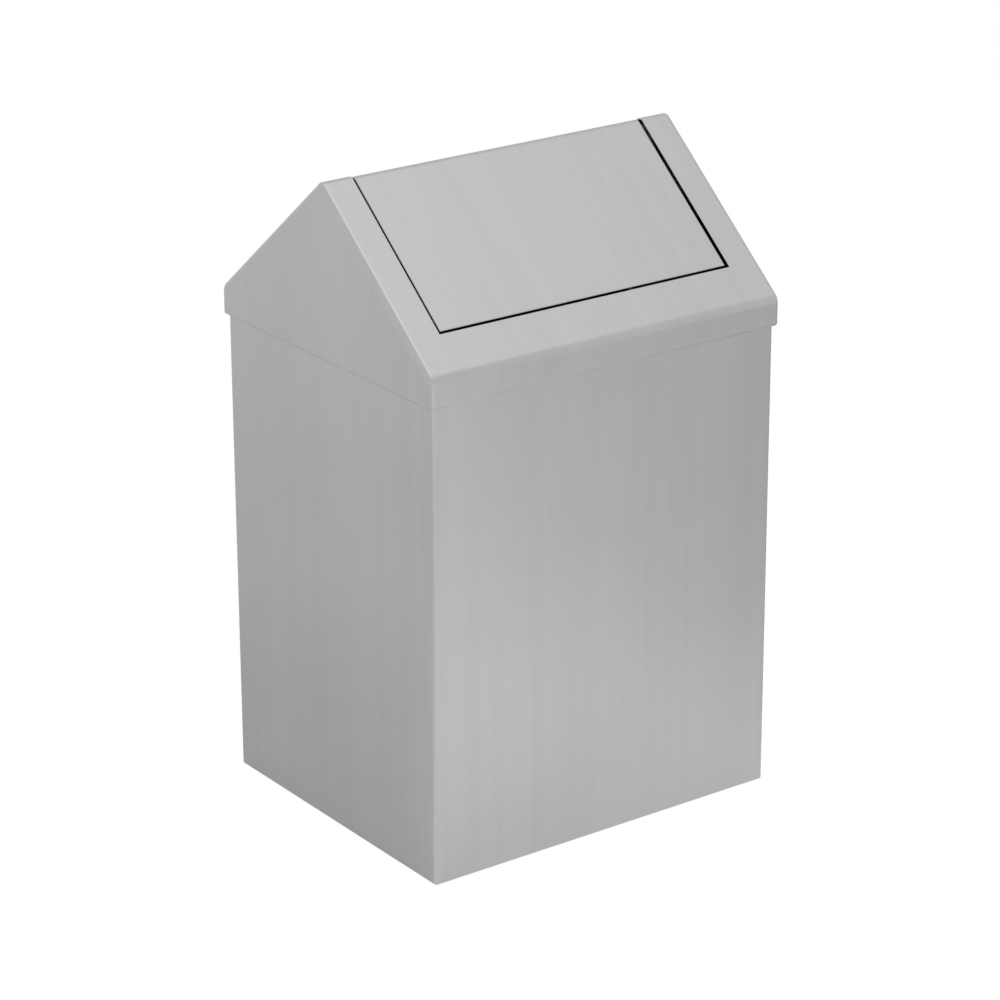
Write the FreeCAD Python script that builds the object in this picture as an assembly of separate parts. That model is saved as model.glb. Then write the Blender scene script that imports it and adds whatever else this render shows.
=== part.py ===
import FreeCAD, Part
import math
import os

from FreeCAD import Vector

# Swing-top waste bin of folded stainless sheet, with a gable roof for a lid and a flap that swings in it.
# X runs along the ridge, -Y is the front, +Z is up and the floor is at Z zero. Millimetres.

# Driving dimensions: sheet and general clearances
sheet = 1.0
bend_inside = 2.0
flange_bend_inside = 0.5
edge_round = 0.9
seat_gap = 0.3
overrun = 20.0
tolerance = 0.01

# Driving dimensions: body
body_width = 368.0
body_depth = 314.0
body_height = 458.5
floor_clearance = 1.5
lip_width = 12.0
lip_mitre_gap = 1.0
lip_mitre_angle = 45.0
rear_return = 18.0
rear_panel_side_gap = 1.0

# Driving dimensions: base pan, feet and rivets
pan_raise = 13.0
pan_flange = 11.0
pan_corner_notch = 5.0
foot_top_diameter = 30.0
foot_bottom_diameter = 26.0
foot_inset = 32.0
foot_edge_round = 1.5
foot_web = 4.0
rivet_diameter = 4.0
rivet_head_diameter = 8.0
rivet_head_height = 1.5
rivet_head_gap = 1.5
rivet_bulb_diameter = 6.5
rivet_bulb_height = 2.4
rivet_clearance = 0.05

# Driving dimensions: bag frame and its hooks
wire_diameter = 5.0
bag_frame_gap = 1.5
bag_frame_drop = 30.0
bag_frame_corner = 25.0
hook_sheet = 1.5
hook_bend_inside = 1.5
hook_width = 20.0
hook_spacing = 150.0
hook_leg = 18.0
hook_tip = 5.5
hook_tip_gap = 1.5

# Driving dimensions: lid
lid_gap = 3.0
skirt_height = 26.0
skirt_overlap = 18.0
gable_rise = 133.65
eave_bend_inside = 9.0
ridge_bend_inside = 4.5
gable_bend_inside = 4.0
rim_bend_inside = 1.0
rim_return = 2.5
side_strip = 32.5
eave_strip = 41.2
opening_flange = 9.0
rest_sheet = 1.5
rest_bend_inside = 1.5
rest_width = 25.0
rest_spacing = 190.0
rest_leg = 18.0
rest_edge_gap = 1.0

# Driving dimensions: flap
flap_side_gap = 2.4
flap_end_gap = 2.9
flap_recess = 0.6
flap_flange = 10.0
flap_hem = 8.0
hem_side_gap = 1.0
ridge_relief = 1.5

# Driving dimensions: pivots
pin_diameter = 6.0
pin_clearance = 0.05
pin_head_diameter = 12.0
pin_head_height = 2.5
pin_tail = 2.0
pin_chamfer = 0.6
axial_play = 0.5
bush_wall = 1.5
bush_flange_diameter = 13.0
bush_flange_thickness = 1.5
bush_proud = 1.0
pivot_clearance = 1.5
ear_sheet = 2.0
ear_wall = 4.5
ear_arm = 34.0
ear_corner_gap = 1.2
ear_edge_gap = 0.3
spacer_diameter = 12.0
clip_diameter = 11.0
clip_thickness = 0.8
clip_mouth = 4.0
groove_depth = 0.7
groove_clearance = 0.1
hanger_sheet = 2.0
hanger_bend_inside = 1.0
hanger_half_width = 30.0
hanger_setback = 4.0
hanger_weld_tab = 12.0
hanger_ridge_gap = 9.0
stop_tab_width = 6.0
stop_tab_reach = 2.0
stop_angle = 71.0

# Body levels and half sizes
bend_outside = bend_inside + sheet
body_half_width = body_width / 2
body_half_depth = body_depth / 2
body_bottom = floor_clearance
body_top = body_bottom + body_height
wall_inside_x = body_half_width - sheet
wall_inside_y = body_half_depth - sheet
mouth_half_width = body_half_width - lip_width
mouth_half_depth = body_half_depth - lip_width
rear_panel_inside = wall_inside_y - sheet
pan_top = body_bottom + pan_raise
pan_underside = pan_top - sheet
rivet_seat = pan_underside - foot_web
rivet_hole_radius = rivet_diameter / 2 + rivet_clearance

wire_radius = wire_diameter / 2
bag_frame_z = body_top - bag_frame_drop
bag_frame_half_width = mouth_half_width - bag_frame_gap - wire_radius
bag_frame_half_depth = mouth_half_depth - bag_frame_gap - wire_radius

# Lid and flap levels, half sizes and slope
flange_bend = flange_bend_inside + sheet
eave_bend = eave_bend_inside + sheet
ridge_bend = ridge_bend_inside + sheet
gable_bend = gable_bend_inside + sheet
rim_bend = rim_bend_inside + sheet
lid_half_width = body_half_width + lid_gap + sheet
lid_half_depth = body_half_depth + lid_gap + sheet
skirt_bottom = body_top - skirt_overlap
eave_z = skirt_bottom + skirt_height
ridge_z = eave_z + gable_rise
slope_angle = math.atan2(gable_rise, lid_half_depth)
slope_length = math.hypot(gable_rise, lid_half_depth)
slope_cos = math.cos(slope_angle)
slope_sin = math.sin(slope_angle)

opening_half_width = lid_half_width - side_strip
opening_run = slope_length - eave_strip
flap_half_width = opening_half_width - flap_side_gap
flap_run = opening_run - flap_end_gap
flap_ridge_z = ridge_z - flap_recess / slope_cos

# The pivot sits as high as the bush flange can go under the flap's side flanges
flange_to_pivot = bush_flange_diameter / 2 + pivot_clearance
pivot_z = flap_ridge_z - (flap_flange + flange_to_pivot) / slope_cos

# Stack along the pivot axis, on the right-hand side
pin_radius = pin_diameter / 2
pin_bore_radius = pin_radius + pin_clearance
bush_radius = pin_bore_radius + bush_wall
ear_bore_radius = bush_radius + pin_clearance
ear_radius = ear_bore_radius + ear_wall
ear_outer = flap_half_width - sheet
ear_inner = ear_outer - ear_sheet
bush_outer = ear_outer + bush_flange_thickness
bush_inner = ear_inner - bush_proud
spacer_inner = bush_outer + axial_play
hanger_inner = opening_half_width + hanger_setback
hanger_outer = hanger_inner + hanger_sheet
clip_outer = bush_inner - axial_play
clip_inner = clip_outer - clip_thickness
groove_radius = pin_radius - groove_depth
pin_end = clip_inner - groove_clearance - pin_tail

# The stop tab's lower corner meets a side flange when the flap has swung by the stop angle
stop_turn = math.radians(stop_angle) + slope_angle
stop_half_width = stop_tab_width / 2
stop_drop = (flange_to_pivot - stop_half_width * math.sin(stop_turn)) / -math.cos(stop_turn)
stop_tab_bottom = pivot_z - stop_drop

SIDES = {"left": -1, "right": 1}
ENDS = {"front": -1, "rear": 1}
FULL_TURN = 360


# Shape helpers
def block(x_range, y_range, z_range):
    corner = Vector(x_range[0], y_range[0], z_range[0])
    return Part.makeBox(x_range[1] - x_range[0], y_range[1] - y_range[0], z_range[1] - z_range[0], corner)


def centred_block(half_width, half_depth, z_range):
    return block((-half_width, half_width), (-half_depth, half_depth), z_range)


def rod(radius, start, end):
    return Part.makeCylinder(radius, (end - start).Length, start, end - start)


def turned(profile):
    """Solid of revolution about Z from (radius, height) points."""
    points = [Vector(radius, 0, height) for radius, height in profile]
    return Part.Face(Part.makePolygon(points + points[:1])).revolve(Vector(), Vector(0, 0, 1), FULL_TURN)


def plate(outline, x_range):
    """Plate square to X from (y, z) points."""
    points = [Vector(x_range[0], y, z) for y, z in outline]
    return Part.Face(Part.makePolygon(points + points[:1])).extrude(Vector(x_range[1] - x_range[0], 0, 0))


def joined(solids):
    return solids[0].multiFuse(solids[1:]).removeSplitter()


def on_side(shape, sign):
    return shape if sign > 0 else shape.mirror(Vector(), Vector(1, 0, 0))


def ends_fit(edge, test):
    return all(test(vertex.Point) for vertex in edge.Vertexes)


def filleted(solid, radius, test):
    return solid.makeFillet(radius, [edge for edge in solid.Edges if ends_fit(edge, test)])


def outer_edges(solid, half_width, half_depth, z):
    """Level edges at a height, all round the outside."""

    def on_outside(point):
        beyond = max(abs(point.x) - half_width, abs(point.y) - half_depth)
        return abs(beyond) < tolerance and abs(point.z - z) < tolerance

    return [edge for edge in solid.Edges if ends_fit(edge, on_outside)]


def in_yz(x):
    return lambda point: Vector(x, point[0], point[1])


def in_xz(y):
    return lambda point: Vector(point[0], y, point[1])


def in_xy(z):
    return lambda point: Vector(point[0], point[1], z)


def rounded_path(corners, radii, place):
    """Edges of a line through the corners, with an arc of the given radius at each inner corner."""
    edges = []
    start = Vector(*corners[0], 0)
    for index in range(1, len(corners) - 1):
        corner = Vector(*corners[index], 0)
        back = (Vector(*corners[index - 1], 0) - corner).normalize()
        ahead = (Vector(*corners[index + 1], 0) - corner).normalize()
        half_angle = back.getAngle(ahead) / 2
        radius = radii[index]
        reach = radius / math.tan(half_angle)
        middle = corner + (back + ahead).normalize() * (radius / math.sin(half_angle) - radius)
        arc_points = [place(point) for point in (corner + back * reach, middle, corner + ahead * reach)]
        edges.append(Part.makeLine(place(start), arc_points[0]))
        if radius > 0:
            edges.append(Part.Arc(*arc_points).toShape())
        start = corner + ahead * reach
    edges.append(Part.makeLine(place(start), place(corners[-1])))
    return edges


def folded_strip(corners, inside_radius, thickness, place):
    """Section of a folded sheet: one face runs through the corners, and the sheet is on the left of it."""
    points = [Vector(*corner, 0) for corner in corners]
    steps = [(after - before).normalize() for before, after in zip(points, points[1:])]
    lefts = [Vector(-step.y, step.x, 0) for step in steps]
    lefts = lefts[:1] + lefts + lefts[-1:]
    far_corners = []
    near_radii = []
    far_radii = []
    for point, before, after in zip(points, lefts, lefts[1:]):
        far_point = point + (before + after) * (thickness / (1 + before.dot(after)))
        far_corners.append((far_point.x, far_point.y))
        turns_left = before.cross(after).z > 0
        near_radii.append(inside_radius + (thickness if turns_left else 0))
        far_radii.append(inside_radius + (0 if turns_left else thickness))
    edges = rounded_path(corners, near_radii, place)
    edges.append(Part.makeLine(place(corners[-1]), place(far_corners[-1])))
    edges += rounded_path(far_corners[::-1], far_radii[::-1], place)
    edges.append(Part.makeLine(place(far_corners[0]), place(corners[0])))
    return Part.Face(Part.Wire(Part.__sortEdges__(edges)))


# Roof geometry
def roof_z(y, inset):
    return ridge_z - abs(y) * gable_rise / lid_half_depth - inset / slope_cos


def slope_point(run, depth, apex_z):
    """Point (y, z) on the rear slope, a run down from the apex and a depth below its face."""
    return run * slope_cos - depth * slope_sin, apex_z - run * slope_sin - depth * slope_cos


def chevron(run, top_depth, bottom_depth, apex_z, half_width):
    """Slab shaped like an inverted V between two depths, its lower ends square to the slopes."""
    upper = slope_point(run, top_depth, apex_z)
    lower = slope_point(run, bottom_depth, apex_z)
    top = (0, apex_z - top_depth / slope_cos)
    bottom = (0, apex_z - bottom_depth / slope_cos)
    outline = [(-upper[0], upper[1]), top, upper, lower, bottom, (-lower[0], lower[1])]
    return plate(outline, (-half_width, half_width))


def side_edges(solid, inset, half_width):
    """Edges along the slopes' outer faces, moved in by the inset, at a half width either way."""

    def on_side_line(point):
        return abs(abs(point.x) - half_width) < tolerance and abs(point.z - roof_z(point.y, inset)) < tolerance

    def runs_down(edge):
        return abs(edge.Vertexes[0].X - edge.Vertexes[-1].X) < tolerance

    return [edge for edge in solid.Edges if runs_down(edge) and ends_fit(edge, on_side_line)]


def end_edges(solid, run, depth, apex_z):
    """Level edges a run down the slopes, at a depth below their faces."""
    y, z = slope_point(run, depth, apex_z)

    def on_end_line(point):
        return abs(abs(point.y) - y) < tolerance and abs(point.z - z) < tolerance

    return [edge for edge in solid.Edges if ends_fit(edge, on_end_line)]


# Body
def rounded_tub(half_width, half_depth, z_range, radius):
    tub = centred_block(half_width, half_depth, z_range)
    edges = [edge for edge in tub.Edges if not ends_fit(edge, lambda point: point.z < z_range[0] + tolerance)]
    return tub.makeFillet(radius, edges)


def lip_mitre():
    length = (lip_width - bend_outside) / math.sin(math.radians(lip_mitre_angle))
    slot = centred_block(length, lip_mitre_gap / 2, (-bend_outside, overrun))
    slot.rotate(Vector(), Vector(0, 0, 1), -lip_mitre_angle)
    slot.translate(Vector(mouth_half_width, -mouth_half_depth, body_top))
    return slot


def body_shell():
    outside = rounded_tub(body_half_width, body_half_depth, (body_bottom, body_top), bend_outside)
    inside = rounded_tub(wall_inside_x, wall_inside_y, (body_bottom - overrun, body_top - sheet), bend_inside)
    mouth = centred_block(mouth_half_width, mouth_half_depth, (body_bottom, body_top + overrun))
    window_half_width = body_half_width - rear_return
    rear_y = (mouth_half_depth, body_half_depth + overrun)
    all_z = (body_bottom - overrun, body_top + overrun)
    window = block((-window_half_width, window_half_width), rear_y, all_z)
    lip_z = (body_top - bend_outside, body_top + overrun)
    rear_lip = block((-body_half_width - overrun, body_half_width + overrun), rear_y, lip_z)
    mitres = [on_side(lip_mitre(), sign) for sign in SIDES.values()]
    shell = outside.cut([inside, mouth, window, rear_lip] + mitres)
    return shell.makeFillet(edge_round, outer_edges(shell, body_half_width, body_half_depth, body_bottom))


def rear_panel():
    half_width = wall_inside_x - bend_inside - rear_panel_side_gap
    path = [(wall_inside_y, body_bottom), (wall_inside_y, body_top), (mouth_half_depth, body_top)]
    section = folded_strip(path, bend_inside, sheet, in_yz(-half_width))
    panel = section.extrude(Vector(half_width + half_width, 0, 0))
    trim = block(
        (mouth_half_width - lip_mitre_gap, body_half_width + overrun),
        (mouth_half_depth - overrun, body_half_depth + overrun),
        (body_top - bend_outside, body_top + overrun),
    )
    return panel.cut([on_side(trim, sign) for sign in SIDES.values()])


def foot_places():
    x = wall_inside_x - foot_inset
    y = rear_panel_inside - foot_inset
    return {
        end + "_" + side: Vector(x * side_sign, y * end_sign, 0)
        for end, end_sign in ENDS.items()
        for side, side_sign in SIDES.items()
    }


def base_pan():
    flange_bottom = pan_top - pan_flange
    outside = block(
        (-wall_inside_x, wall_inside_x), (-wall_inside_y, rear_panel_inside), (flange_bottom, pan_top)
    )
    inside = block(
        (-wall_inside_x + sheet, wall_inside_x - sheet),
        (-wall_inside_y + sheet, rear_panel_inside - sheet),
        (flange_bottom - overrun, pan_underside),
    )
    outside = filleted(outside, bend_outside, lambda point: point.z > pan_top - tolerance)
    inside = filleted(inside, bend_inside, lambda point: point.z > pan_underside - tolerance)
    hole_top = Vector(0, 0, pan_top + overrun)
    holes = [rod(rivet_hole_radius, place, place + hole_top) for place in foot_places().values()]
    return outside.cut([inside] + holes + pan_notches())


def pan_notches():
    notch_x = (wall_inside_x - pan_corner_notch, wall_inside_x + overrun)
    front_y = (-wall_inside_y - overrun, -wall_inside_y + pan_corner_notch)
    rear_y = (rear_panel_inside - pan_corner_notch, rear_panel_inside + overrun)
    notch_z = (pan_top - pan_flange - overrun, pan_top + overrun)
    return [on_side(block(notch_x, y, notch_z), sign) for y in (front_y, rear_y) for sign in SIDES.values()]


def foot(place):
    bottom_radius = foot_bottom_diameter / 2
    recess_radius = rivet_head_diameter / 2 + rivet_head_gap
    solid = turned([
        (recess_radius, 0),
        (bottom_radius, 0),
        (foot_top_diameter / 2, pan_underside),
        (rivet_hole_radius, pan_underside),
        (rivet_hole_radius, rivet_seat),
        (recess_radius, rivet_seat),
    ])
    solid = filleted(solid, foot_edge_round, lambda point: abs(point.x - bottom_radius) < tolerance)
    solid.translate(place)
    return solid


def rivet(place):
    head_bottom = rivet_seat - rivet_head_height
    bulb_top = pan_top + rivet_bulb_height
    solid = turned([
        (0, head_bottom),
        (rivet_head_diameter / 2, head_bottom),
        (rivet_head_diameter / 2, rivet_seat),
        (rivet_diameter / 2, rivet_seat),
        (rivet_diameter / 2, pan_top),
        (rivet_bulb_diameter / 2, pan_top),
        (rivet_bulb_diameter / 2, bulb_top),
        (0, bulb_top),
    ])
    solid.translate(place)
    return solid


def foot_rivets():
    return Part.makeCompound([rivet(place) for place in foot_places().values()])


# Bag frame
def bag_frame():
    x, y = bag_frame_half_width, bag_frame_half_depth
    corners = [(0, -y), (x, -y), (x, y), (-x, y), (-x, -y), (0, -y)]
    path = Part.Wire(rounded_path(corners, [bag_frame_corner] * len(corners), in_xy(bag_frame_z)))
    section = Part.Wire(Part.makeCircle(wire_radius, Vector(0, -y, bag_frame_z), Vector(1, 0, 0)))
    return path.makePipeShell([section], True, False)


def bag_hook(end_sign):
    shelf = bag_frame_z - wire_radius - seat_gap
    tip_x = bag_frame_half_width - wire_radius - hook_tip_gap
    path = [
        (wall_inside_x, shelf - hook_leg),
        (wall_inside_x, shelf),
        (tip_x, shelf),
        (tip_x, shelf + hook_tip),
    ]
    section = folded_strip(path, hook_bend_inside, hook_sheet, in_xz(-hook_width / 2))
    hook = section.extrude(Vector(0, hook_width, 0))
    hook.translate(Vector(0, end_sign * hook_spacing / 2, 0))
    return hook


# Lid
def hood_solid(inset, bottom):
    """Lid filled in, with every face but the bottom moved in by the inset."""
    half_depth = lid_half_depth - inset
    half_width = lid_half_width - inset
    eave = roof_z(half_depth, inset)
    corners = [
        (-half_depth, bottom),
        (-half_depth, eave),
        (0, roof_z(0, inset)),
        (half_depth, eave),
        (half_depth, bottom),
    ]
    eave_radius = max(eave_bend - inset, 0)
    ridge_radius = max(ridge_bend - inset, 0)
    place = in_yz(-half_width)
    edges = rounded_path(corners, [0, eave_radius, ridge_radius, eave_radius, 0], place)
    edges.append(Part.makeLine(place(corners[-1]), place(corners[0])))
    section = Part.Face(Part.Wire(Part.__sortEdges__(edges)))
    solid = section.extrude(Vector(half_width + half_width, 0, 0))

    def on_gable(edge):
        along_gable = abs(edge.Vertexes[0].X - edge.Vertexes[-1].X) < tolerance
        return along_gable and not ends_fit(edge, lambda point: point.z < bottom + tolerance)

    if inset < gable_bend:
        solid = solid.makeFillet(gable_bend - inset, [edge for edge in solid.Edges if on_gable(edge)])
    if inset < rim_bend:
        solid = solid.makeFillet(rim_bend - inset, outer_edges(solid, half_width, half_depth, bottom))
    return solid


def lid_hood():
    """Whole sheet of the lid: its rim is turned in, and both lower edges of the opening are turned down."""
    rim_z = (skirt_bottom - overrun, skirt_bottom + overrun)
    mouth = centred_block(lid_half_width - rim_return, lid_half_depth - rim_return, rim_z)
    skin = hood_solid(0, skirt_bottom).cut([hood_solid(sheet, skirt_bottom + sheet), mouth])
    opening = chevron(opening_run, -overrun, overrun, ridge_z, opening_half_width)
    flanges = chevron(opening_run + sheet, 0, opening_flange, ridge_z, opening_half_width)
    hood = joined([skin, flanges]).cut(opening)
    return hood.makeFillet(edge_round, end_edges(hood, opening_run, 0, ridge_z))


def hood_between(hood, x_range):
    all_z = (skirt_bottom - overrun, ridge_z + overrun)
    return hood.common(block(x_range, (-lid_half_depth - overrun, lid_half_depth + overrun), all_z))


def lid_rest(end_sign):
    wall = lid_half_width - sheet
    path = [(mouth_half_width + rest_edge_gap, body_top), (wall, body_top), (wall, body_top + rest_leg)]
    section = folded_strip(path, rest_bend_inside, rest_sheet, in_xz(-rest_width / 2))
    rest = section.extrude(Vector(0, rest_width, 0))
    rest.translate(Vector(0, end_sign * rest_spacing / 2, 0))
    return rest


# Pivots, on the right-hand side
def along_axis(radius, x_range):
    return rod(radius, Vector(x_range[0], 0, pivot_z), Vector(x_range[1], 0, pivot_z))


def pivot_hanger():
    """Plate with two tabs welded under the slopes, and a stop tab bent in under the flap's ear."""
    bottom_z = stop_tab_bottom + hanger_sheet + hanger_bend_inside
    half_outline = [
        (hanger_ridge_gap, roof_z(hanger_ridge_gap, sheet)),
        (hanger_half_width, roof_z(hanger_half_width, sheet)),
        (hanger_half_width, bottom_z),
    ]
    outline = half_outline + [(-y, z) for y, z in reversed(half_outline)]
    hanger = plate(outline, (hanger_inner, hanger_outer))
    weld_x = (hanger_inner, hanger_outer + hanger_weld_tab)
    weld_run = hanger_half_width / slope_cos
    weld_tabs = chevron(weld_run, sheet, sheet + hanger_sheet, ridge_z, weld_x[1])
    all_z = (bottom_z, ridge_z)
    weld_tabs = weld_tabs.common(block(weld_x, (-hanger_half_width, hanger_half_width), all_z))
    weld_tabs = weld_tabs.cut(block(weld_x, (-hanger_ridge_gap, hanger_ridge_gap), all_z))
    path = [
        (ear_inner - stop_tab_reach, stop_tab_bottom),
        (hanger_outer, stop_tab_bottom),
        (hanger_outer, pivot_z),
    ]
    section = folded_strip(path, hanger_bend_inside, hanger_sheet, in_xz(-stop_half_width))
    tab = section.extrude(Vector(0, stop_tab_width, 0))
    bore = along_axis(pin_bore_radius, (hanger_inner, hanger_outer))
    return joined([hanger, weld_tabs, tab]).cut(bore)


def pivot_pin():
    shank = along_axis(pin_radius, (pin_end, hanger_outer))
    end_edges = [edge for edge in shank.Edges if ends_fit(edge, lambda point: point.x < pin_end + tolerance)]
    shank = shank.makeChamfer(pin_chamfer, end_edges)
    head = along_axis(pin_head_diameter / 2, (hanger_outer, hanger_outer + pin_head_height))
    groove_x = (clip_inner - groove_clearance, clip_outer + groove_clearance)
    groove = along_axis(pin_bore_radius, groove_x).cut(along_axis(groove_radius, groove_x))
    return joined([shank.cut(groove), head])


def pivot_spacer():
    x_range = (spacer_inner, hanger_inner)
    return along_axis(spacer_diameter / 2, x_range).cut(along_axis(pin_bore_radius, x_range))


def pivot_clip():
    x_range = (clip_inner, clip_outer)
    ring = along_axis(clip_diameter / 2, x_range).cut(along_axis(groove_radius + pin_clearance, x_range))
    mouth = block(x_range, (-clip_mouth / 2, clip_mouth / 2), (pivot_z - clip_diameter, pivot_z))
    return ring.cut(mouth)


def pivot_bush():
    barrel = along_axis(bush_radius, (bush_inner, ear_outer))
    flange = along_axis(bush_flange_diameter / 2, (ear_outer, bush_outer))
    return joined([barrel, flange]).cut(along_axis(pin_bore_radius, (bush_inner, bush_outer)))


# Flap
def flap_panel():
    """Inverted V with its sides turned down and its lower edges folded back under themselves."""
    tray = chevron(flap_run, 0, flap_flange, flap_ridge_z, flap_half_width)
    hollow = chevron(flap_run + overrun, sheet, flap_flange + overrun, flap_ridge_z, flap_half_width - sheet)
    tray = filleted(tray, ridge_bend, lambda point: point.z > flap_ridge_z - tolerance)
    hollow_top = flap_ridge_z - sheet / slope_cos
    hollow = filleted(hollow, ridge_bend_inside, lambda point: point.z > hollow_top - tolerance)
    relief_top = flap_ridge_z - (ridge_bend + sheet) / slope_cos
    relief = centred_block(flap_half_width + overrun, ridge_relief / 2, (pivot_z - overrun, relief_top))
    hem_half_width = flap_half_width - sheet - hem_side_gap
    hem = chevron(flap_run, sheet, sheet + sheet, flap_ridge_z, hem_half_width)
    hem = hem.cut(chevron(flap_run - flap_hem, 0, overrun, flap_ridge_z, flap_half_width))
    panel = joined([tray.cut([hollow, relief]), hem])
    panel = panel.makeFillet(flange_bend, side_edges(panel, flap_recess, flap_half_width))
    lower_edges = end_edges(panel, flap_run, 0, flap_ridge_z)
    lower_edges += end_edges(panel, flap_run, sheet + sheet, flap_ridge_z)
    return panel.makeFillet(edge_round, lower_edges)


def flap_ear():
    """Plate inside a side flange of the flap: an arm along each slope and a boss for the bush."""
    x_range = (ear_inner, ear_outer)
    top_depth = sheet + ear_corner_gap
    below_ridge = (pivot_z - flap_flange, flap_ridge_z - (ridge_bend + top_depth) / slope_cos)
    arms = chevron(ear_arm, top_depth, flap_flange - ear_edge_gap, flap_ridge_z, ear_outer)
    arms = arms.common(block(x_range, (-ear_arm, ear_arm), below_ridge))
    under_roof = chevron(ear_arm, top_depth, flap_flange + overrun, flap_ridge_z, ear_outer)
    neck = block(x_range, (-ear_radius, ear_radius), (pivot_z, below_ridge[1])).common(under_roof)
    boss = along_axis(ear_radius, x_range)
    return joined([arms, neck, boss]).cut(along_axis(ear_bore_radius, x_range))


# Nodes
def single_nodes(hood):
    seam = lid_half_width - gable_bend
    return {
        "body_shell": body_shell(),
        "rear_panel": rear_panel(),
        "base_pan": base_pan(),
        "foot_rivets": foot_rivets(),
        "bag_frame": bag_frame(),
        "lid_roof": hood_between(hood, (-seam, seam)),
        "flap_panel": flap_panel(),
    }


def corner_nodes():
    nodes = {"foot_" + name: foot(place) for name, place in foot_places().items()}
    for end, end_sign in ENDS.items():
        for side, side_sign in SIDES.items():
            nodes["bag_hook_" + end + "_" + side] = on_side(bag_hook(end_sign), side_sign)
            nodes["lid_rest_" + end + "_" + side] = on_side(lid_rest(end_sign), side_sign)
    return nodes


def side_nodes(hood):
    right_hand = {
        "lid_gable": hood_between(hood, (lid_half_width - gable_bend, lid_half_width + overrun)),
        "pivot_hanger": pivot_hanger(),
        "pivot_pin": pivot_pin(),
        "pivot_spacer": pivot_spacer(),
        "pivot_clip": pivot_clip(),
        "pivot_bush": pivot_bush(),
        "flap_ear": flap_ear(),
    }
    return {
        name + "_" + side: on_side(shape, sign)
        for name, shape in right_hand.items()
        for side, sign in SIDES.items()
    }


def main():
    hood = lid_hood()
    os.makedirs("parts", exist_ok=True)
    for nodes in (single_nodes(hood), corner_nodes(), side_nodes(hood)):
        for name, shape in nodes.items():
            shape.exportStep("parts/" + name + ".step")


main()
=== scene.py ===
import math

import bpy
from mathutils import Matrix, Vector


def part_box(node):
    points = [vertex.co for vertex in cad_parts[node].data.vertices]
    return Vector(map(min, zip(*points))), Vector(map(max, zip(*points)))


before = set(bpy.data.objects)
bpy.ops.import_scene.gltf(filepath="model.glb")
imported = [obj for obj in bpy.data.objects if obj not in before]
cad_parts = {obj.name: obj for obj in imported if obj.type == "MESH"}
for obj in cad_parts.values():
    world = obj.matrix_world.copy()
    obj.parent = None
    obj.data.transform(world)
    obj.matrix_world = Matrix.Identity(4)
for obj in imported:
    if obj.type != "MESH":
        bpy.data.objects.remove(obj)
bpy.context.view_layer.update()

# Swing-top waste bin of satin stainless sheet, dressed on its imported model.
# Metres, in the model's frame: X along the ridge, -Y to the front, Z up from the floor.

# Camera, fitted to the photograph's edges
CAMERA_AZIMUTH = math.radians(-35.95)
CAMERA_ELEVATION = math.radians(21.19)
CAMERA_ROLL = math.radians(-0.18)
CAMERA_AIM = Vector((-0.0059, -0.0082, 0.2739))
CAMERA_DISTANCE = 3.381
CAMERA_LENS_MM = 135.3
CAMERA_SENSOR_MM = 36.0

# Floor: the share of it that is plain white to the camera and in the metal, which grows to all of it far out
FLOOR_HALF_SIZE = 9.0
FLOOR_DROP = 0.0002
FLOOR_COLOUR = (0.95, 0.95, 0.95, 1)
FLOOR_WHITE_SHARE_SEEN = 0.9
FLOOR_WHITE_STRENGTH = 1.06
FLOOR_WHITE_SHARE_MIRRORED = 0.2
FLOOR_FADE_CENTRE = Vector((0.3, -0.4, 0.0))
FLOOR_FADE_START = 0.9
FLOOR_FADE_END = 2.7

# Room: white where it is seen, and in the metal a pale room with a soft light overhead
WHITE = (1, 1, 1, 1)
WORLD_SEEN_STRENGTH = 1.0
WORLD_LIGHT_STRENGTH = 0.42
WORLD_MIRRORED_STRENGTH = 0.83
OVERHEAD_STRENGTH = 1.30
OVERHEAD_DIRECTION = Vector((0.25, -0.2, 0.95)).normalized()
OVERHEAD_INNER_ANGLE = math.radians(12)
OVERHEAD_OUTER_ANGLE = math.radians(26)

# Lamps
SPOT_SOFT_SHARE = 0.5
SPOT_RADIUS = 0.25
MAIN_SPOT_PLACE = Vector((0.71, -1.23, 2.18))
MAIN_SPOT_AIM = Vector((-0.15, -0.15, 0.0))
MAIN_SPOT_REACH = 0.7
MAIN_SPOT_WATTS = 104.0
FRONT_SPOT_PLACE = Vector((0.15, -1.9, 2.2))
FRONT_SPOT_AIM = Vector((0.18, -1.06, 0.0))
FRONT_SPOT_REACH = 0.55
FRONT_SPOT_WATTS = 62.0
SOFTBOX_SIZE = 1.2
SOFTBOX_AIM = Vector((0.0, 0.0, 0.3))
FRONT_LAMP_PLACE = Vector((-0.3, -2.7, 1.02))
FRONT_LAMP_WATTS = 30.0
REAR_LAMP_PLACE = Vector((-1.76, 1.47, 1.91))
REAR_LAMP_WATTS = 11.0

# Part of a noise's range that most of its values lie in
NOISE_LOW_SHARE = 0.25
NOISE_HIGH_SHARE = 0.75

# Satin sheet: fine grain and broader bands this wide and long, in a slightly patchy ground
GRAIN_WIDTH = 0.0007
GRAIN_LENGTH = 0.09
GRAIN_LAYERS = {"Detail": 3, "Roughness": 0.6}
GRAIN_SHARE = 0.3
GRAIN_RELIEF = 0.000004
BAND_WIDTH = 0.014
BAND_LENGTH = 0.7
BAND_LAYERS = {"Detail": 2, "Roughness": 0.5}
BAND_SHARE = 0.4
PATCH_SIZE = 0.11
PATCH_LAYERS = {"Detail": 2, "Roughness": 0.5}
PATCH_SHARE = 0.3
# Metal keeps its roughness to one side of about 0.27, because across it contour lines showed in the render
STEEL_ROUGHNESS = (0.28, 0.32)
STEEL_DARK = (0.495, 0.498, 0.497, 1)
STEEL_LIGHT = (0.547, 0.549, 0.548, 1)

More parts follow.
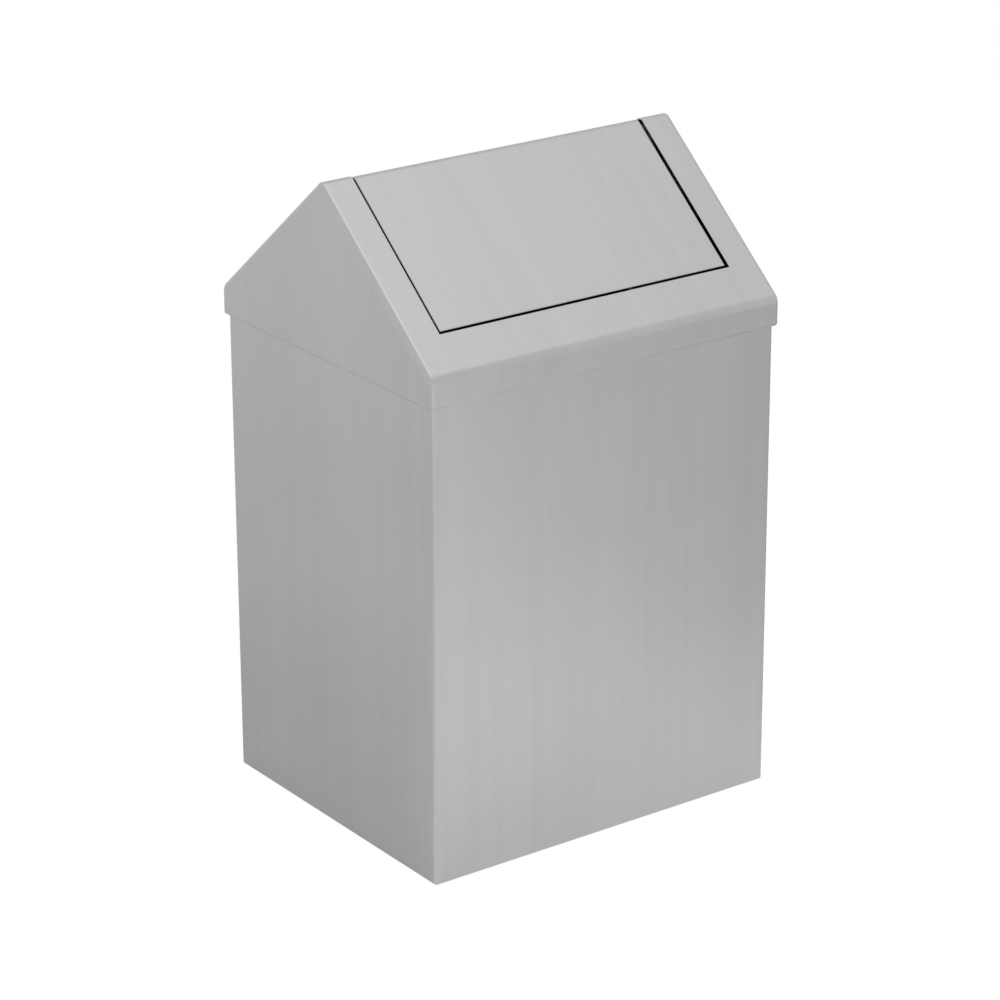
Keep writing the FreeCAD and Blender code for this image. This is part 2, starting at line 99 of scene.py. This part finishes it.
# Heat marks of the spot welds down the two laps at the rear
WELD_INSET = 0.011
WELD_RADIUS = 0.0028
WELD_TINT_RADIUS = 0.0055
WELD_SPACING = 0.057
WELD_FIRST_HEIGHT = 0.0285
WELD_REAR_DEPTH = 0.0028
WELD_TINT = (0.45, 0.43, 0.40, 1)

# Edges rubbed bright, with a painted highlight along them, this far in from a sharp edge
WEAR_AND_HIGHLIGHT_REACH = 0.0007
WEAR_AND_HIGHLIGHT_SAMPLES = 4
WEAR_AND_HIGHLIGHT_FULL_SHARE = 0.8
WEAR_AND_HIGHLIGHT_NONE_SHARE = 0.99
# Colour of rubbed edges, lightened further as a painted highlight
WORN_AND_HIGHLIT_STEEL = (0.62, 0.62, 0.615, 1)

# Mottled finishes of the other pieces
SPOT_LAYERS = {"Detail": 4, "Roughness": 0.6}
MILL_STEEL = {
    "dark": (0.40, 0.40, 0.395, 1),
    "light": (0.50, 0.50, 0.495, 1),
    "metallic": 1,
    "roughness_range": (0.30, 0.42),
    "spot_size": 0.007,
    "relief": 0.00001,
}
BRIGHT_ZINC = {
    "dark": (0.52, 0.525, 0.53, 1),
    "light": (0.64, 0.635, 0.62, 1),
    "metallic": 1,
    "roughness_range": (0.18, 0.27),
    "spot_size": 0.0022,
    "relief": 0.000008,
}
CHROMED_WIRE = {
    "dark": (0.60, 0.605, 0.61, 1),
    "light": (0.66, 0.66, 0.66, 1),
    "metallic": 1,
    "roughness_range": (0.07, 0.14),
    "spot_size": 0.012,
    "relief": 0.000003,
}
FOOT_RUBBER = {
    "dark": (0.018, 0.018, 0.018, 1),
    "light": (0.036, 0.036, 0.035, 1),
    "metallic": 0,
    "roughness_range": (0.68, 0.85),
    "spot_size": 0.0009,
    "relief": 0.00006,
}
RIVET_ALUMINIUM = {
    "dark": (0.62, 0.625, 0.63, 1),
    "light": (0.74, 0.74, 0.74, 1),
    "metallic": 1,
    "roughness_range": (0.28, 0.42),
    "spot_size": 0.0018,
    "relief": 0.00001,
}
NYLON = {
    "dark": (0.66, 0.65, 0.60, 1),
    "light": (0.75, 0.74, 0.70, 1),
    "metallic": 0,
    "roughness_range": (0.38, 0.52),
    "spot_size": 0.0018,
    "relief": 0.00001,
}


# Node helpers
def add_node(tree, kind, settings=None, inputs=None):
    """New node with its settings, and its inputs set to values or linked from sockets."""
    node = tree.nodes.new(kind)
    for name, value in (settings or {}).items():
        setattr(node, name, value)
    for name, value in (inputs or {}).items():
        if isinstance(value, bpy.types.NodeSocket):
            tree.links.new(value, node.inputs[name])
        else:
            node.inputs[name].default_value = value
    return node


def math_node(tree, operation, *values):
    node = add_node(tree, "ShaderNodeMath", {"operation": operation}, dict(enumerate(values)))
    return node.outputs["Value"]


def vector_measure(tree, operation, *vectors):
    """One number from vectors, such as a length or a dot product."""
    node = add_node(tree, "ShaderNodeVectorMath", {"operation": operation}, dict(enumerate(vectors)))
    return node.outputs["Value"]


def object_place(tree):
    return add_node(tree, "ShaderNodeTexCoord").outputs["Object"]


def ramp(tree, value, start, end, low=0, high=1):
    """Smooth change from low, where the value is at its start, to high at its end."""
    inputs = {"Value": value, "From Min": start, "From Max": end, "To Min": low, "To Max": high}
    node = add_node(tree, "ShaderNodeMapRange", {"interpolation_type": "SMOOTHSTEP"}, inputs)
    return node.outputs["Result"]


def switch(tree, flag, off, on):
    """The on value where a flag is one, and the off value where it is zero."""
    inputs = {"Value": flag, "To Min": off, "To Max": on}
    return add_node(tree, "ShaderNodeMapRange", inputs=inputs).outputs["Result"]


def noise(tree, sizes, layers):
    """Noise with features of the given sizes along X, Y and Z."""
    scale = tuple(1 / size for size in sizes)
    stretched = add_node(tree, "ShaderNodeMapping", inputs={"Vector": object_place(tree), "Scale": scale})
    inputs = {"Vector": stretched.outputs["Vector"], "Scale": 1, **layers}
    return add_node(tree, "ShaderNodeTexNoise", inputs=inputs).outputs["Fac"]


def spread(tree, value, low, high):
    """Value from the middle of a noise, spread over a range."""
    return ramp(tree, value, NOISE_LOW_SHARE, NOISE_HIGH_SHARE, low, high)


def blend(tree, share, first, second):
    """Colour between two colours, each a colour or a socket."""
    node = add_node(tree, "ShaderNodeMix", {"data_type": "RGBA"}, {"Factor": share})
    colours = [socket for socket in node.inputs if socket.type == "RGBA"]
    for socket, colour in zip(colours, (first, second)):
        if isinstance(colour, bpy.types.NodeSocket):
            tree.links.new(colour, socket)
        else:
            socket.default_value = colour
    return next(socket for socket in node.outputs if socket.type == "RGBA")


def mirrored_rays(tree, rays):
    return math_node(tree, "MAXIMUM", rays["Is Glossy Ray"], rays["Is Transmission Ray"])


# Materials
def new_material(name):
    """Empty node material, its tree and its output node."""
    material = bpy.data.materials.new(name)
    material.use_nodes = True
    tree = material.node_tree
    tree.nodes.clear()
    return material, tree, add_node(tree, "ShaderNodeOutputMaterial")


def add_surface(tree, output, colour, metallic, roughness, height, relief):
    """Main shader of a material, with a fine relief from a height."""
    bump = add_node(tree, "ShaderNodeBump", inputs={"Strength": 1, "Distance": relief, "Height": height})
    shader = add_node(tree, "ShaderNodeBsdfPrincipled", inputs={
        "Base Color": colour,
        "Metallic": metallic,
        "Roughness": roughness,
        "Normal": bump.outputs["Normal"],
    })
    tree.links.new(shader.outputs["BSDF"], output.inputs["Surface"])


def weld_marks(tree):
    """One at each spot weld on the rear face, down the two laps, and zero elsewhere."""
    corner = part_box("body_shell")[1]
    place = add_node(tree, "ShaderNodeSeparateXYZ", inputs={"Vector": object_place(tree)}).outputs
    line_x = corner[0] - WELD_INSET
    across = math_node(tree, "SUBTRACT", math_node(tree, "ABSOLUTE", place["X"]), line_x)
    height = math_node(tree, "SUBTRACT", place["Z"], WELD_FIRST_HEIGHT)
    along = math_node(tree, "PINGPONG", height, WELD_SPACING / 2)
    offset = add_node(tree, "ShaderNodeCombineXYZ", inputs={"X": across, "Y": along}).outputs["Vector"]
    distance = vector_measure(tree, "LENGTH", offset)
    on_rear = math_node(tree, "GREATER_THAN", place["Y"], corner[1] - WELD_REAR_DEPTH)
    return math_node(tree, "MULTIPLY", ramp(tree, distance, WELD_TINT_RADIUS, WELD_RADIUS), on_rear)


def edge_wear_and_highlight(tree):
    """Mask of rubbed wear and a painted edge highlight: rises from zero on the flat to one at a sharp edge.
    """
    eased = add_node(tree, "ShaderNodeBevel", {"samples": WEAR_AND_HIGHLIGHT_SAMPLES}, {"Radius": WEAR_AND_HIGHLIGHT_REACH})
    plain = add_node(tree, "ShaderNodeNewGeometry")
    likeness = vector_measure(tree, "DOT_PRODUCT", eased.outputs["Normal"], plain.outputs["Normal"])
    return ramp(tree, likeness, WEAR_AND_HIGHLIGHT_NONE_SHARE, WEAR_AND_HIGHLIGHT_FULL_SHARE)


def mottled(name, dark, light, metallic, roughness_range, spot_size, relief):
    """Material mottled between two colours, with a spread of roughness and a fine relief to match."""
    material, tree, output = new_material(name)
    spots = noise(tree, (spot_size, spot_size, spot_size), SPOT_LAYERS)
    colour = blend(tree, spread(tree, spots, 0, 1), dark, light)
    roughness = spread(tree, spots, *roughness_range)
    add_surface(tree, output, colour, metallic, roughness, spots, relief)
    return material


def satin_steel(name, grain_sizes, band_sizes, worn_and_highlit=False, welded=False):
    """Satin sheet with its grain and bands of the given sizes, worn along its edges with a painted highlight
    there too, or marked by welds.
    """
    material, tree, output = new_material(name)
    grain = noise(tree, grain_sizes, GRAIN_LAYERS)
    bands = noise(tree, band_sizes, BAND_LAYERS)
    patches = noise(tree, (PATCH_SIZE, PATCH_SIZE, PATCH_SIZE), PATCH_LAYERS)
    lines = math_node(tree, "ADD", spread(tree, grain, 0, GRAIN_SHARE), spread(tree, bands, 0, BAND_SHARE))
    share = math_node(tree, "ADD", lines, spread(tree, patches, 0, PATCH_SHARE))
    colour = blend(tree, share, STEEL_DARK, STEEL_LIGHT)
    # Rubbed wear and a painted highlight lighten the sharp edges
    if worn_and_highlit:
        colour = blend(tree, edge_wear_and_highlight(tree), colour, WORN_AND_HIGHLIT_STEEL)
    if welded:
        colour = blend(tree, weld_marks(tree), colour, WELD_TINT)
    roughness = spread(tree, patches, *STEEL_ROUGHNESS)
    add_surface(tree, output, colour, 1, roughness, grain, GRAIN_RELIEF)
    return material


def white_floor():
    """White to the camera, and in the metal a lit floor that fades into the pale room."""
    material, tree, output = new_material("white_floor")
    rays = add_node(tree, "ShaderNodeLightPath").outputs
    mirrored = mirrored_rays(tree, rays)
    distance = vector_measure(tree, "DISTANCE", object_place(tree), FLOOR_FADE_CENTRE)
    faded = ramp(tree, distance, FLOOR_FADE_START, FLOOR_FADE_END, FLOOR_WHITE_SHARE_MIRRORED, 1)
    seen = math_node(tree, "MULTIPLY", rays["Is Camera Ray"], FLOOR_WHITE_SHARE_SEEN)
    share = math_node(tree, "MULTIPLY_ADD", mirrored, faded, seen)
    strength = switch(tree, mirrored, FLOOR_WHITE_STRENGTH, WORLD_MIRRORED_STRENGTH)
    matt = add_node(tree, "ShaderNodeBsdfDiffuse", inputs={"Color": FLOOR_COLOUR})
    white = add_node(tree, "ShaderNodeEmission", inputs={"Strength": strength})
    mixed = add_node(tree, "ShaderNodeMixShader", inputs={
        "Fac": share,
        1: matt.outputs["BSDF"],
        2: white.outputs["Emission"],
    })
    tree.links.new(mixed.outputs["Shader"], output.inputs["Surface"])
    material.cycles.emission_sampling = "NONE"
    return material


# Studio
def make_floor():
    half = FLOOR_HALF_SIZE
    corners = [
        (-half, -half, -FLOOR_DROP),
        (half, -half, -FLOOR_DROP),
        (half, half, -FLOOR_DROP),
        (-half, half, -FLOOR_DROP),
    ]
    mesh = bpy.data.meshes.new("floor")
    mesh.from_pydata(corners, [], [range(len(corners))])
    mesh.materials.append(white_floor())
    floor = bpy.data.objects.new("floor", mesh)
    bpy.context.collection.objects.link(floor)


def make_world():
    """White where it is seen, an even soft light, and in the metal a pale room with a soft overhead light."""
    world = bpy.data.worlds.new("studio")
    world.use_nodes = True
    bpy.context.scene.world = world
    tree = world.node_tree
    tree.nodes.clear()
    rays = add_node(tree, "ShaderNodeLightPath").outputs
    straight = switch(tree, rays["Is Camera Ray"], WORLD_LIGHT_STRENGTH, WORLD_SEEN_STRENGTH)
    direction = add_node(tree, "ShaderNodeTexCoord").outputs["Generated"]
    nearness = vector_measure(tree, "DOT_PRODUCT", direction, OVERHEAD_DIRECTION)
    room_edge = math.cos(OVERHEAD_OUTER_ANGLE)
    light_edge = math.cos(OVERHEAD_INNER_ANGLE)
    overhead = ramp(tree, nearness, room_edge, light_edge, WORLD_MIRRORED_STRENGTH, OVERHEAD_STRENGTH)
    strength = switch(tree, mirrored_rays(tree, rays), straight, overhead)
    light = add_node(tree, "ShaderNodeBackground", inputs={"Color": WHITE, "Strength": strength})
    output = add_node(tree, "ShaderNodeOutputWorld")
    tree.links.new(light.outputs["Background"], output.inputs["Surface"])


def place_lamp(lamp, place, aim):
    """Hangs a lamp that lights the floor and the matt pieces, and isn't mirrored in the metal."""
    holder = bpy.data.objects.new(lamp.name, lamp)
    holder.location = place
    holder.rotation_euler = (aim - place).to_track_quat("-Z", "Y").to_euler()
    holder.visible_glossy = False
    bpy.context.collection.objects.link(holder)


def make_softbox(name, place, watts):
    lamp = bpy.data.lights.new(name, "AREA")
    lamp.shape = "SQUARE"
    lamp.size = SOFTBOX_SIZE
    lamp.energy = watts
    place_lamp(lamp, place, SOFTBOX_AIM)


def make_spot(name, place, aim, reach, watts):
    """Spot lamp whose cone reaches this far round the point that it is aimed at."""
    lamp = bpy.data.lights.new(name, "SPOT")
    lamp.spot_size = 2 * math.atan(reach / (aim - place).length)
    lamp.spot_blend = SPOT_SOFT_SHARE
    lamp.shadow_soft_size = SPOT_RADIUS
    lamp.energy = watts
    place_lamp(lamp, place, aim)


def make_camera():
    back = Vector((
        math.sin(CAMERA_AZIMUTH) * math.cos(CAMERA_ELEVATION),
        -math.cos(CAMERA_AZIMUTH) * math.cos(CAMERA_ELEVATION),
        math.sin(CAMERA_ELEVATION),
    ))
    right = Vector((0, 0, 1)).cross(back).normalized()
    up = back.cross(right)
    turned = Matrix((right, up, back)).transposed() @ Matrix.Rotation(CAMERA_ROLL, 3, "Z")
    camera = bpy.data.cameras.new("camera")
    camera.sensor_width = CAMERA_SENSOR_MM
    camera.lens = CAMERA_LENS_MM
    holder = bpy.data.objects.new("camera", camera)
    holder.matrix_world = Matrix.Translation(CAMERA_AIM + back * CAMERA_DISTANCE) @ turned.to_4x4()
    bpy.context.collection.objects.link(holder)
    bpy.context.scene.camera = holder


# Dressing
def dress(material, starts):
    """Gives a material to the nodes whose names start so."""
    for name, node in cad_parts.items():
        if name.startswith(starts):
            node.data.materials.clear()
            node.data.materials.append(material)


def dress_bin():
    upright = (GRAIN_WIDTH, GRAIN_WIDTH, GRAIN_LENGTH), (BAND_WIDTH, BAND_WIDTH, BAND_LENGTH)
    sloping = (GRAIN_WIDTH, GRAIN_LENGTH, GRAIN_LENGTH), (BAND_WIDTH, BAND_LENGTH, BAND_LENGTH)
    dress(satin_steel("shell_steel", *upright, worn_and_highlit=True, welded=True), "body_shell")
    dress(satin_steel("wall_steel", *upright), ("rear_panel", "base_pan", "lid_gable"))
    dress(satin_steel("roof_steel", *sloping), "lid_roof")
    dress(satin_steel("flap_steel", *sloping, worn_and_highlit=True), "flap_panel")
    dress(mottled("mill_steel", **MILL_STEEL), ("bag_hook", "lid_rest", "pivot_hanger", "flap_ear"))
    dress(mottled("bright_zinc", **BRIGHT_ZINC), ("pivot_pin", "pivot_spacer", "pivot_clip"))
    dress(mottled("chromed_wire", **CHROMED_WIRE), "bag_frame")
    dress(mottled("foot_rubber", **FOOT_RUBBER), ("foot_front", "foot_rear"))
    dress(mottled("rivet_aluminium", **RIVET_ALUMINIUM), "foot_rivets")
    dress(mottled("nylon", **NYLON), "pivot_bush")


bpy.context.scene.view_settings.view_transform = "Standard"
make_camera()
make_world()
make_floor()
make_spot("main_spot", MAIN_SPOT_PLACE, MAIN_SPOT_AIM, MAIN_SPOT_REACH, MAIN_SPOT_WATTS)
make_spot("front_spot", FRONT_SPOT_PLACE, FRONT_SPOT_AIM, FRONT_SPOT_REACH, FRONT_SPOT_WATTS)
make_softbox("front_lamp", FRONT_LAMP_PLACE, FRONT_LAMP_WATTS)
make_softbox("rear_lamp", REAR_LAMP_PLACE, REAR_LAMP_WATTS)
dress_bin()
